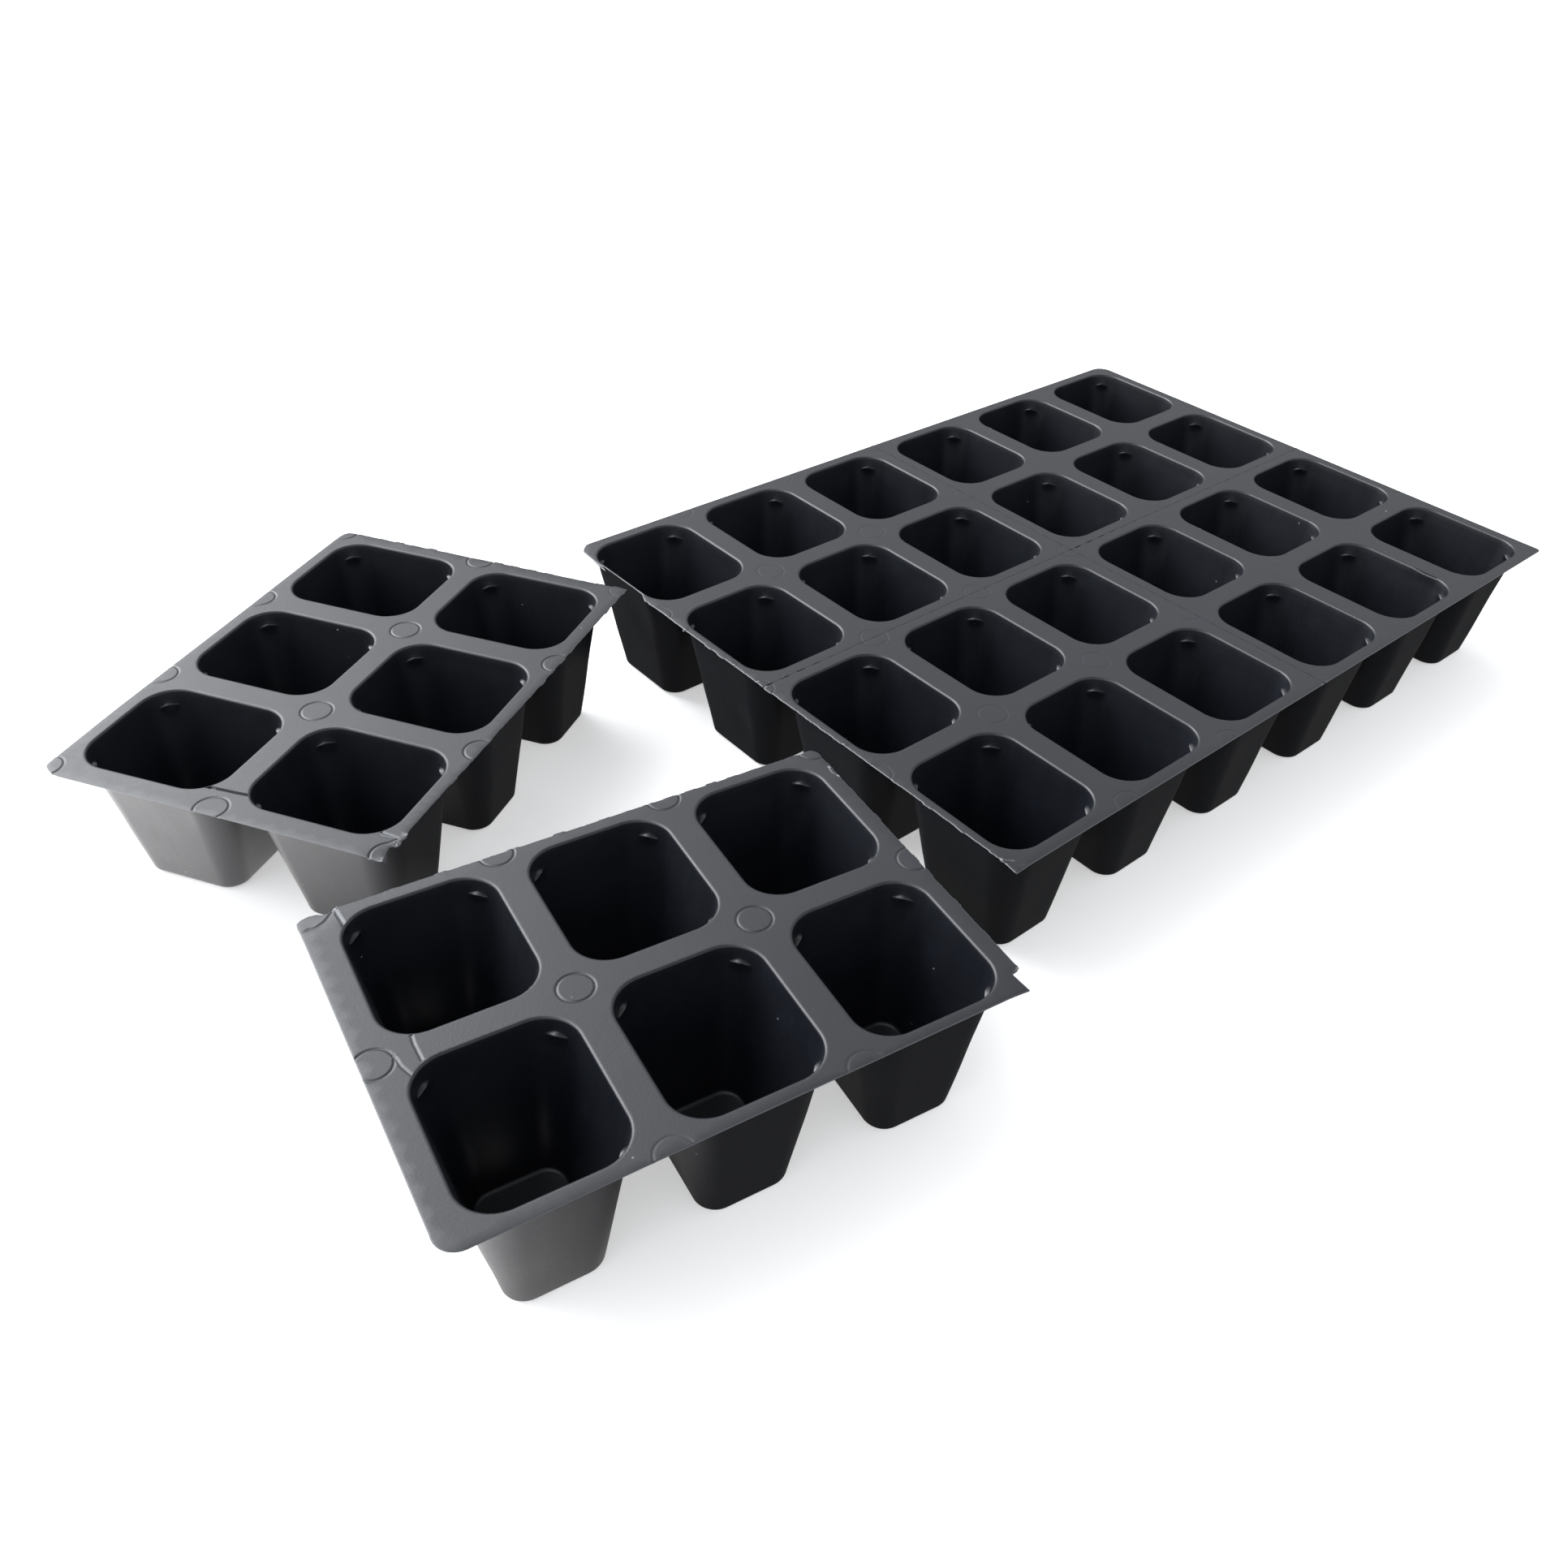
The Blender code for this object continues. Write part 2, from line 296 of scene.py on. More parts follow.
# %% Say how far an edge reaches
TIE_PITCH = 7.9
SLIT_LENGTH = 4.4
SLIT_END = 0.5
FIRST_SLIT = -67.2
JOINED_REACH = 0.11
OPEN_SLIT = 0.22
CLOSED_SLIT = 0.05
OPEN_FOR = 38.0
SNAPPED_REACH = 0.25
STUB = 0.96
ROUGHNESS = 0.2
TRIM_REACH = 0.05
WANDER_LENGTH = 21.0
ROUGH_LENGTH = 1.3


def slit_share(along):
    """1 in the middle of a slit, 0 on a tie, with a rounded end between them."""
    from_slit = abs((along - FIRST_SLIT + TIE_PITCH / 2) % TIE_PITCH - TIE_PITCH / 2)
    return max(0.0, min(1.0, (SLIT_LENGTH / 2 - from_slit) / SLIT_END))


def reach_out(kind, along, from_sheet_edge, seed):
    """How far the plastic reaches beyond the straight edge, in millimetres."""
    wander = noise.noise(Vector((along / WANDER_LENGTH, seed, 0)))
    rough = noise.noise(Vector((along / ROUGH_LENGTH, seed, 5)))
    slit = slit_share(along)
    if kind == "joined":
        gape = CLOSED_SLIT + OPEN_SLIT * max(0.0, 1 - from_sheet_edge / OPEN_FOR)
        return JOINED_REACH - gape * slit
    if kind == "snapped":
        tie = round((along - FIRST_SLIT) / TIE_PITCH + 0.5)
        stub = max(0.0, 0.08 + STUB * noise.noise(Vector((tie * 3.3, seed, 9))))
        return SNAPPED_REACH * (wander - 1) + (1 - slit) * (stub + ROUGHNESS * rough)
    return TRIM_REACH * (wander - 1)


EDGE_STEP = {"joined": 0.55, "snapped": 0.5, "trimmed": 1.4}
END_FADE = 1.5
SHEET_EDGE = -86.0
FAR_INSIDE = 60.0


def edge_points(start, end, kind, seed):
    """Points from start to end, seen anticlockwise, so outwards is to the right."""
    direction = (end - start).normalized()
    out = Vector((direction.y, -direction.x))
    length = (end - start).length
    across = abs(direction.x) > abs(direction.y)
    count = max(2, round(length / EDGE_STEP[kind]))
    points = []
    for step in range(1, count):
        point = start.lerp(end, step / count)
        along = point.x if across else point.y
        from_end = min(step, count - step) / count * length
        from_sheet_edge = abs(along - SHEET_EDGE) if across else FAR_INSIDE
        reach = reach_out(kind, along, from_sheet_edge, seed)
        points.append(point + min(1.0, from_end / END_FADE) * reach * out)
    return points


# %% [markdown]
# ## Corners
#
# The sheet's own corners are rounded by the knife. Corners where snap lines meet are square, and
# when the packs are pulled apart the tip often tears off with the neighbour. Those torn corners
# are each their own shape, so they're listed as short chains of points, in millimetres from the
# pack's middle. The base pack also lost part of its rim beside the torn corner.

# %% Shape the corners
# Corners are listed anticlockwise from (-x, -y), and each edge follows its corner.
PACK_CORNERS = [(-1, -1), (1, -1), (1, 1), (-1, 1)]
PACK_EDGES = {
    "base_pack": ("joined", "joined", "trimmed", "snapped"),
    "end_pack": ("joined", "trimmed", "trimmed", "joined"),
    "side_pack": ("trimmed", "joined", "joined", "snapped"),
    "corner_pack": ("trimmed", "trimmed", "joined", "joined"),
    "loose_pack_left": ("snapped", "snapped", "trimmed", "trimmed"),
    "loose_pack_front": ("trimmed", "snapped", "snapped", "trimmed"),
}
KNIFE_STEPS = 8
SHEET_RADIUS = {("end_pack", 2): 7.0, ("corner_pack", 1): 2.4, ("loose_pack_front", 0): 7.0}
TORN_CORNERS = {
    ("base_pack", 3): [(-78.4, 66.5), (-79.3, 66.2), (-81.2, 64.6), (-82.7, 62.9), (-83.4, 61.4),
                       (-83.7, 58.0), (-83.9, 54.2), (-84.3, 47.4), (-84.1, 45.4),
                       (-83.35, 44.7), (-83.25, 38.0), (-83.3, 30.0), (-83.25, 22.0),
                       (-83.4, 17.2), (-84.6, 14.6), (-85.6, 12.2)],
    ("side_pack", 0): [(-86.0, -58.4), (-86.2, -59.6), (-86.0, -60.6), (-86.5, -65.4),
                       (-86.4, -66.4), (-85.2, -66.5)],
    ("loose_pack_left", 0): [(-91.1, -62.4), (-91.2, -64.8), (-90.9, -66.0), (-90.1, -65.9),
                             (-88.4, -65.5), (-86.6, -65.0), (-84.2, -64.5), (-83.7, -65.3),
                             (-83.3, -66.9), (-81.6, -67.2), (-80.4, -66.6), (-79.2, -67.1),
                             (-77.4, -66.9), (-76.3, -66.4)],
    ("loose_pack_left", 1): [(86.8, -67.4), (88.7, -67.4), (89.25, -66.9), (89.2, -65.2)],
    ("loose_pack_left", 2): [(89.1, 58.0), (88.8, 62.2), (88.2, 64.5), (87.3, 65.35),
                             (86.4, 65.9), (84.0, 66.3), (80.0, 66.5)],
    ("loose_pack_left", 3): [(-84.0, 66.5), (-86.8, 66.3), (-88.0, 65.7), (-88.9, 64.5),
                             (-89.6, 63.4), (-90.2, 62.2), (-90.7, 60.8), (-91.05, 58.4)],
    ("loose_pack_front", 1): [(86.2, -64.9), (86.5, -64.6), (86.0, -61.2), (85.5, -57.4),
                              (86.6, -56.9), (88.5, -56.5), (88.9, -55.4)],
    ("loose_pack_front", 2): [(88.7, 63.2), (88.3, 64.6), (87.0, 66.1), (85.6, 66.3)],
    ("loose_pack_front", 3): [(-79.4, 66.2), (-80.7, 66.0), (-81.6, 65.2), (-83.0, 64.7),
                              (-84.6, 65.2), (-86.1, 66.4), (-88.3, 66.9), (-90.6, 66.5),
                              (-92.0, 65.5), (-92.4, 63.6), (-92.3, 61.0)],
}


def corner_points(pack, place):
    """The corner's points, anticlockwise: torn, rounded by the knife, or square."""
    torn = TORN_CORNERS.get((pack.node, place))
    if torn:
        return [Vector(point) for point in torn]
    signs = PACK_CORNERS[place]
    corner = Vector((pack.high.x if signs[0] > 0 else pack.low.x,
                     pack.high.y if signs[1] > 0 else pack.low.y))
    radius = SHEET_RADIUS.get((pack.node, place), 0.0)
    if not radius:
        return [corner]
    middle = corner - radius * Vector(signs)
    start = math.atan2(signs[1], signs[0]) - math.pi / 4
    angles = [start + step / KNIFE_STEPS * math.pi / 2 for step in range(KNIFE_STEPS + 1)]
    return [middle + radius * Vector((math.cos(a), math.sin(a))) for a in angles]


def outline_of(pack):
    """The deck's outline from the corner at (-x, -y), and which points are on a free edge."""
    corners = [corner_points(pack, place) for place in range(4)]
    seed = 1.37 * list(packs).index(pack.node)
    points, free = [], []
    for place, kind in enumerate(PACK_EDGES[pack.node]):
        before = PACK_EDGES[pack.node][place - 1]
        points += corners[place]
        free += [kind != "joined" and before != "joined"] * len(corners[place])
        chain = edge_points(corners[place][-1], corners[(place + 1) % 4][0], kind,
                            seed + 2.2 * place)
        points += chain
        free += [kind != "joined"] * len(chain)
    return points, free


outlines = {node: outline_of(pack) for node, pack in packs.items()}
print("outline points:", {node: len(points) for node, (points, _) in outlines.items()})

# %% [markdown]
# ## How high the deck lies
#
# A formed sheet never comes off its mould dead flat, and handling adds to that. The height of
# the deck is one function of place: long slow waves, a shallow groove along each snap line, and
# the ring marks that the mould's vents leave between the cells. The rings sit on the corners of
# the cell lattice, so those on the pack's edge are cut through.

# %% Place the ring marks and the snap grooves
RING_RADIUS = 5.6
RING_WIDTH = 1.0
GROOVE_WIDTH = 0.7
GROOVE_DEPTH = 0.05
JOINED_STEP = 29.95
JOINED_SIDE = 33.25
RING_DEPTH = {"loose_left": 0.26, "loose_front": 0.24, "base": 0.09, "side": 0.10,
              "end": 0.05, "corner": 0.05}
NO_RING = {("loose_front", 0, 0), ("loose_front", 3, 0), ("loose_front", 0, 2)}
FAINT_RING = {("loose_front", 1, 0): 0.3, ("loose_front", 2, 0): 0.3, ("loose_left", 3, 0): 0.25}


def ring_centres(pack):
    """Corners of the cell lattice, moved to the snap line where two packs are joined."""
    left = JOINED_STEP if pack.body in ("end", "corner") else PITCH.x / 2
    right = JOINED_STEP if pack.body in ("base", "side") else PITCH.x / 2
    low = JOINED_SIDE if pack.body in ("base", "end") else PITCH.y / 2
    high = JOINED_SIDE if pack.body in ("side", "corner") else PITCH.y / 2
    columns = [-PITCH.x - left, -PITCH.x / 2, PITCH.x / 2, PITCH.x + right]
    rows = [-PITCH.y / 2 - low, 0, PITCH.y / 2 + high]
    found = []
    for i, x in enumerate(columns):
        for j, y in enumerate(rows):
            if (pack.body, i, j) not in NO_RING:
                depth = RING_DEPTH[pack.body] * FAINT_RING.get((pack.body, i, j), 1.0)
                found.append((Vector((x, y)), depth))
    return found


def joined_edges(pack):
    """Distance functions to the snap lines on which this pack is still joined."""
    to_edge = [lambda p: p.y - pack.low.y, lambda p: pack.high.x - p.x,
               lambda p: pack.high.y - p.y, lambda p: p.x - pack.low.x]
    return [to_edge[side] for side, kind in enumerate(PACK_EDGES[pack.node]) if kind == "joined"]


for pack in packs.values():
    pack.rings, pack.from_joined = ring_centres(pack), joined_edges(pack)
    print(pack.node, "has", len(pack.rings), "ring marks and", len(pack.from_joined), "joined edges")

# %% [markdown]
# ## Creases, nicks and pulled corners
#
# Pulling a pack off the sheet bends its webs, and the plastic keeps a sharp crease across the
# narrowest part of each, in line with the rounding of the mouths. Each crease is a chain of
# points with a width, a depth, and how white the plastic went. A nib is a small raised crumb.
# A droop is a soft region that sinks towards a corner which was pulled down.

# %% List the creases and nibs
CREASE_LINES = (-0.9, -0.5, -0.17, 0.17, 0.5, 0.9)


class Crease:
    """A line pressed into the deck. Its depth fades towards its ends."""

    def __init__(self, line, width, depth, white=0.0):
        self.line = [Vector(point) for point in line]
        self.width, self.depth, self.white = width, depth, white

    def away(self, p):
        """Distance from the line to a point of the deck."""
        nearest = 1e9
        for a, b in zip(self.line, self.line[1:]):
            along = b - a
            share = max(0.0, min(1.0, (p - a).dot(along) / along.length_squared))
            nearest = min(nearest, (p - a - share * along).length)
        return nearest

    def beside(self):
        """The line again with a point each millimetre, shifted to both sides."""
        points = []
        for a, b in zip(self.line, self.line[1:]):
            count = max(1, round((b - a).length))
            points += [a.lerp(b, step / count) for step in range(count)]
        points.append(self.line[-1])
        chains = []
        for off in CREASE_LINES:
            chain = []
            for i, point in enumerate(points):
                along = points[min(i + 1, len(points) - 1)] - points[max(i - 1, 0)]
                chain.append(point + off * self.width * Vector((-along.y, along.x)).normalized())
            chains.append(chain)
        return chains


CREASES = {
    "loose_pack_left": [
        Crease([(-79.2, 9.0), (-78.9, 6.0), (-78.7, 2.0), (-78.5, -3.0), (-78.0, -8.2)],
               1.5, 0.85, 0.0),
        Crease([(-78.9, -57.2), (-79.2, -60.0), (-79.5, -64.6)], 1.0, 0.3, 0.5),
        Crease([(-80.6, -59.0), (-80.3, -62.0), (-79.7, -64.8)], 0.8, 0.22, 0.45),
        Crease([(-83.4, -62.9), (-81.4, -64.3), (-79.8, -65.2)], 1.1, 0.35, 0.3),
    ],
    "loose_pack_front": [
        Crease([(-75.5, 6.9), (-75.9, 2.0), (-75.7, -4.5)], 1.0, 0.3, 0.3),
        Crease([(-81.9, 0.6), (-81.3, -4.0), (-79.6, -8.7)], 1.0, 0.28, 0.25),
        Crease([(-80.7, 65.6), (-80.3, 61.5), (-79.9, 57.4)], 1.3, 0.4, 0.45),
        Crease([(-81.2, 65.0), (-83.2, 62.8), (-84.6, 61.6), (-87.4, 60.4), (-90.2, 60.9)],
               1.1, 0.35, 0.15),
        Crease([(87.4, 54.8), (86.9, 51.6), (88.2, 48.4)], 0.8, 0.2, 0.1),
    ],
    "base_pack": [Crease([(-84.4, 45.6), (-82.9, 41.0)], 0.7, 0.15, 0.3)],
    "side_pack": [Crease([(-85.2, -59.2), (-83.0, -61.6)], 0.8, 0.2, 0.3)],
}
NIBS = {
    "loose_pack_left": [(-78.9, 8.9, 0.9), (-77.4, -66.7, 0.7), (-83.2, -66.7, 0.6),
                        (-90.6, -65.8, 0.9)],
    "loose_pack_front": [(87.9, 54.5, 0.7), (88.4, 48.7, 0.7), (-80.6, 65.8, 0.8),
                         (88.4, -56.2, 0.6)],
    "base_pack": [(-85.5, -15.5, 0.8), (-85.4, -47.6, 0.7), (-84.9, -62.2, 0.6),
                  (-75.4, -66.3, 0.7), (-83.8, 46.0, 0.5)],
    "side_pack": [(-85.7, -58.8, 0.8), (-84.6, 65.6, 0.7), (-85.3, 20.0, 0.5)],
}
DROOPS = {
    "loose_pack_left": [((-92.0, -68.0), (13.0, 11.0), 0.7), ((-92.0, 68.0), (40.0, 60.0), 0.5)],
    "loose_pack_front": [((-93.0, 68.0), (15.0, 14.0), 1.1), ((88.0, -67.0), (10.0, 11.0), 0.6)],
    "base_pack": [((-85.0, 66.0), (9.0, 9.0), 0.3)],
    "side_pack": [((-88.0, -67.0), (9.0, 9.0), 0.4)],
}
print("creases:", sum(len(found) for found in CREASES.values()))

# %% [markdown]
# Everything that presses on the deck now comes together in one height. All of it goes down from
# the deck's full height, so the packs never stand taller than their frame.

# %% Add it all up
WAVE = 0.28
WAVE_LENGTH = 75.0
WAVE_PLACE = 4.2
EDGE_ROLL = 0.2
EDGE_ROLL_WIDTH = 0.45
NIB_HEIGHT = 0.25


def mark_depth(pack, p):
    """How far the ring marks, grooves and creases press the deck down at one place."""
    drop = 0.0
    for centre, depth in pack.rings:
        off = abs((p - centre).length - RING_RADIUS) / (RING_WIDTH / 2)
        if off < 1:
            drop = max(drop, depth * (1 - off ** 2))
    for distance in pack.from_joined:
        off = max(0.0, distance(p)) / GROOVE_WIDTH
        if off < 1:
            drop = max(drop, GROOVE_DEPTH * (1 - off) ** 1.5)
    for crease in CREASES.get(pack.node, []):
        off = crease.away(p) / (crease.width / 2)
        if off < 1:
            drop = max(drop, crease.depth * (1 - off ** 2))
    for x, y, size in NIBS.get(pack.node, []):
        off = (p - Vector((x, y))).length / size
        if off < 1:
            drop -= NIB_HEIGHT * (1 - off ** 2)
    return drop


def whitened(pack, p):
    """How far the plastic has gone white at one place, from 0 to 1."""
    white = 0.0
    for crease in CREASES.get(pack.node, []):
        white = max(white, crease.white * max(0.0, 1 - crease.away(p) / (crease.width * 0.6)))
    for x, y, size in NIBS.get(pack.node, []):
        white = max(white, 1 - (p - Vector((x, y))).length / size)
    return white


def wave(pack, p):
    """Slow waves and droops, always downwards."""
    place = pack.place @ Vector((*p, 0)) / MM / WAVE_LENGTH
    drop = WAVE * (0.5 + 0.5 * noise.noise(Vector((place.x, place.y, WAVE_PLACE))))
    for (x, y), (reach_x, reach_y), depth in DROOPS.get(pack.node, []):
        share = ((p.x - x) / reach_x) ** 2 + ((p.y - y) / reach_y) ** 2
        if share < 1:
            drop += depth * (1 - share) ** 2
    return -drop


print("depth at a ring of the left loose pack:",
      round(mark_depth(packs["loose_pack_left"], Vector((-PITCH.x / 2 + RING_RADIUS, 0))), 2))

# %% [markdown]
# ## Triangles for a deck with holes
#
# The deck is a flat drawing: its outline, six mouths, the ring marks and the grooves. Blender's
# constrained triangulation takes such a drawing as loose points and edges, cuts crossing lines,
# and returns triangles that respect every line. Extra points in between keep the triangles
# small, so that the waves and folds have something to bend. Triangles inside a mouth or outside
# the outline are dropped.

# %% Triangulate the deck
FILLER_STEP = 4.2
FILLER_GAP = 1.3
RING_STEPS = 40
RING_SUPPORT = 0.85
LIP_SUPPORT = 0.4
NIB_STEPS = 8


def inside(points, polygon):
    """Which points lie in a polygon, by counting the edges to the right of each point."""
    x, y = points[:, 0, None], points[:, 1, None]
    start, end = polygon, np.roll(polygon, -1, axis=0)
    crosses = (start[:, 1] > y) != (end[:, 1] > y)
    with np.errstate(divide="ignore", invalid="ignore"):
        at = start[:, 0] + (y - start[:, 1]) / (end[:, 1] - start[:, 1]) \
            * (end[:, 0] - start[:, 0])
    return (np.sum(crosses & (x < at), axis=1) % 2) == 1


def near(points, others, distance):
    """Which points lie within a distance of any of the others."""
    away = np.linalg.norm(points[:, None, :] - others[None, :, :], axis=2)
    return away.min(axis=1) < distance


def from_free_edge(flat, outline, free):
    """Distance from each point to the nearest stretch of free edge."""
    chain = np.array([tuple(p) for p in outline])
    start, end = chain, np.roll(chain, -1, axis=0)
    open_edge = np.array(free) & np.roll(np.array(free), -1)
    start, along = start[open_edge], (end - start)[open_edge]
    away = flat[:, None, :] - start[None, :, :]
    share = np.clip(np.sum(away * along, axis=2) / np.sum(along * along, axis=1), 0, 1)
    return np.linalg.norm(away - share[:, :, None] * along, axis=2).min(axis=1)


def deck_triangles(pack, outline, free, mouths):
    """Flat triangles of the deck as points and index triples."""
    points, edges = [], []

    def add_loop(loop):
        first = len(points)
        points.extend(Vector(p) for p in loop)
        count = len(loop)
        edges.extend((first + i, first + (i + 1) % count) for i in range(count))

    def add_chain(chain):
        first = len(points)
        points.extend(chain)
        edges.extend((first + i, first + i + 1) for i in range(len(chain) - 1))

    add_loop(outline)
    count = len(outline)
    for inwards in (EDGE_ROLL_WIDTH, EDGE_ROLL_WIDTH / 2):
        chain = []
        for i, p in enumerate(outline):
            before, after = i - 1, (i + 1) % count
            along = (outline[after] - outline[before]).normalized()
            if free[before] and free[i] and free[after]:
                chain.append(p + inwards * Vector((-along.y, along.x)))
            else:
                add_chain(chain)
                chain = []
        add_chain(chain)
    for mouth, cell in zip(mouths, pack.cells):
        add_loop(mouth)
        size, radius = section(0)
        out = LIP + LIP_SUPPORT
        add_loop([cell + p for p, _, _ in rounded_ring(size + Vector((out, out)) * 2, radius + out)])
    for centre, _ in pack.rings:
        for off in (-RING_SUPPORT, -RING_WIDTH / 2, -RING_WIDTH / 6,
                    RING_WIDTH / 6, RING_WIDTH / 2, RING_SUPPORT):
            angles = [2 * math.pi * step / RING_STEPS for step in range(RING_STEPS)]
            add_loop([centre + (RING_RADIUS + off) * Vector((math.cos(a), math.sin(a)))
                      for a in angles])
    for crease in CREASES.get(pack.node, []):
        for chain in crease.beside():
            add_chain(chain)
    for x, y, size in NIBS.get(pack.node, []):
        angles = [2 * math.pi * step / NIB_STEPS for step in range(NIB_STEPS)]
        points.append(Vector((x, y)))
        for share in (0.5, 1.0):
            points.extend(Vector((x, y)) + share * size * Vector((math.cos(a), math.sin(a)))
                          for a in angles)
    for side, kind in enumerate(PACK_EDGES[pack.node]):
        for off in (GROOVE_WIDTH, GROOVE_WIDTH + LIP_SUPPORT) if kind == "joined" else ():
            low, high = pack.low + Vector((off, off)), pack.high - Vector((off, off))
            ends = [((low.x, low.y), (high.x, low.y)), ((high.x, low.y), (high.x, high.y)),
                    ((high.x, high.y), (low.x, high.y)), ((low.x, high.y), (low.x, low.y))]
            start, end = (Vector(p) for p in ends[side])
            count = round((end - start).length / FILLER_STEP)
            add_chain([start.lerp(end, step / count) for step in range(count + 1)])
    drawn = np.array([tuple(p) for p in points])
    across = np.arange(pack.low.x, pack.high.x, FILLER_STEP)
    up = np.arange(pack.low.y, pack.high.y, FILLER_STEP * 0.87)
    filler = np.array([(x + (FILLER_STEP / 2 if row % 2 else 0), y)
                       for row, y in enumerate(up) for x in across])
    filler = filler[~near(filler, drawn, FILLER_GAP)]
    border = np.array([tuple(p) for p in outline])
    filler = filler[inside(filler, border)]
    points.extend(Vector(p) for p in filler)
    flat, _, triangles, _, _, _ = delaunay_2d_cdt(points, edges, [], 0, 1e-4)
    flat = np.array([tuple(p) for p in flat])
    middles = flat[np.array(triangles)].mean(axis=1)
    keep = inside(middles, border)
    for mouth in mouths:
        keep &= ~inside(middles, np.array([tuple(p) for p in mouth]))
    return flat, [triangle for triangle, kept in zip(triangles, keep) if kept]


# %% [markdown]
# ## From rings and triangles to one skin
#
# The deck's triangles and the cells' rings share the points round each mouth, so merging them
# gives one open sheet. Solidify then gives it the thickness of the plastic, away from the mould
# side, which is the side that is seen. The thickness is applied at once, so that the thin cut
# edge can be kept sharp while everything else is shaded smooth.

# %% Build a pack's skin
SHARP_ANGLE = math.radians(50)
MERGE = 0.01
# EDGE_WHITE_AND_HIGHLIGHT paints every free edge paler. This is a painted highlight where the cut
# edge catches the light, and on torn edges it is partly whitened plastic too.
EDGE_WHITE_AND_HIGHLIGHT = 0.3
WAVE_FADE = 9.0


def build_skin(pack, dents):
    """The pack's top surface as a mesh in its own axes, in millimetres."""
    bm = bmesh.new()
    stress = bm.verts.layers.float.new("stress")
    all_rings = [cell_rings(cell, dents) for cell in pack.cells]
    mouths = [[p.xy for p in rings[0]] for rings in all_rings]
    outline, free = outlines[pack.node]
    flat, triangles = deck_triangles(pack, outline, free, mouths)
    rolled = np.clip(1 - from_free_edge(flat, outline, free) / EDGE_ROLL_WIDTH, 0, 1)
    deck = []
    for (x, y), roll in zip(flat, rolled):
        p = Vector((x, y))
        drop = mark_depth(pack, p) + EDGE_ROLL * roll ** 2
        vert = bm.verts.new((x, y, DECK_TOP - drop))
        # Creases and nibs whiten the plastic. Along free edges the pale value is a painted
        # highlight, partly whitening on torn edges.
        vert[stress] = max(whitened(pack, p), EDGE_WHITE_AND_HIGHLIGHT * roll)
        deck.append(vert)
    for a, b, c in triangles:
        bm.faces.new((deck[a], deck[b], deck[c]))
    for vert in [v for v in deck if not v.link_faces]:
        bm.verts.remove(vert)
    for rings in all_rings:
        verts = [[bm.verts.new(p) for p in ring] for ring in rings]
        for upper, lower in zip(verts, verts[1:]):
            for i in range(len(upper)):
                j = (i + 1) % len(upper)
                bm.faces.new((upper[i], upper[j], lower[j], lower[i]))
    bmesh.ops.remove_doubles(bm, verts=bm.verts, dist=MERGE)
    bmesh.ops.dissolve_degenerate(bm, dist=MERGE / 2, edges=bm.edges)
    for vert in bm.verts:
        fade = math.exp(-max(0.0, DECK_TOP - 0.5 - vert.co.z) / WAVE_FADE)
        vert.co.z = min(DECK_TOP, vert.co.z + wave(pack, vert.co.xy) * fade)
    bm.normal_update()
    mesh = bpy.data.meshes.new(pack.node + "_skin")
    bm.to_mesh(mesh)
    bm.free()
    return mesh


def thicken(mesh, name, place):
    """Gives the sheet its gauge, takes it to its place and shades it smooth."""
    thin = bpy.data.objects.new(name, mesh)
    bpy.context.scene.collection.objects.link(thin)
    solid = thin.modifiers.new("gauge", "SOLIDIFY")
    solid.thickness = GAUGE
    solid.offset = -1
    solid.solidify_mode = "NON_MANIFOLD"
    solid.nonmanifold_thickness_mode = "CONSTRAINTS"
    depsgraph = bpy.context.evaluated_depsgraph_get()
    thick = bpy.data.meshes.new_from_object(thin.evaluated_get(depsgraph))
    bpy.data.objects.remove(thin, do_unlink=True)
    bpy.data.meshes.remove(mesh)
    thick.transform(place)
    thick.shade_smooth()
    thick.set_sharp_from_angle(angle=SHARP_ANGLE)
    piece = bpy.data.objects.new(name, thick)
    bpy.context.scene.collection.objects.link(piece)
    return piece

# %% [markdown]
# ## Make every pack
#
# Six skins are made, one for each pack. A few walls were knocked in when the packs were pulled
# apart, and one lip was nicked, so these packs are given dents first.

# %% Dent, build and thicken
DENTS = {
    "base_pack": [Dent((-79.0, 24.0, 38.0), (6, 13, 15), (0.9, 0.5, 0.1)),
                  Dent((-76.0, -42.0, 22.0), (6, 9, 12), (0.8, 0.0, 0.0))],
    "side_pack": [Dent((-78.0, 30.0, 34.0), (6, 12, 13), (0.7, 0.3, 0.0))],
    "corner_pack": [Dent((24.4, -46.0, 54.8), (3, 6, 3), (-0.7, 0.0, -0.5))],
    "loose_pack_left": [Dent((-80.0, 20.0, 38.0), (5, 5, 5), (0.6, 0.0, 0.0))],
    "loose_pack_front": [Dent((-78.0, 24.0, 30.0), (6, 14, 14), (0.6, 0.0, 0.0))],
}

pieces = {}
for node, pack in packs.items():
    mesh = build_skin(pack, DENTS.get(node, []))
    piece = thicken(mesh, node.replace("_pack", "") + "_skin", pack.place)
    pieces[node] = piece
    print(piece.name, len(piece.data.vertices), "points")

# %% [markdown]
# ## Writing a finish as sums
#
# A finish is easier to read as a sum than as a picture of nodes and wires. One small class wraps
# a node's output, and its operators add Math nodes. Another keeps a node tree, and has the one
# method that adds any other node: its type, its settings, and the values of its sockets.

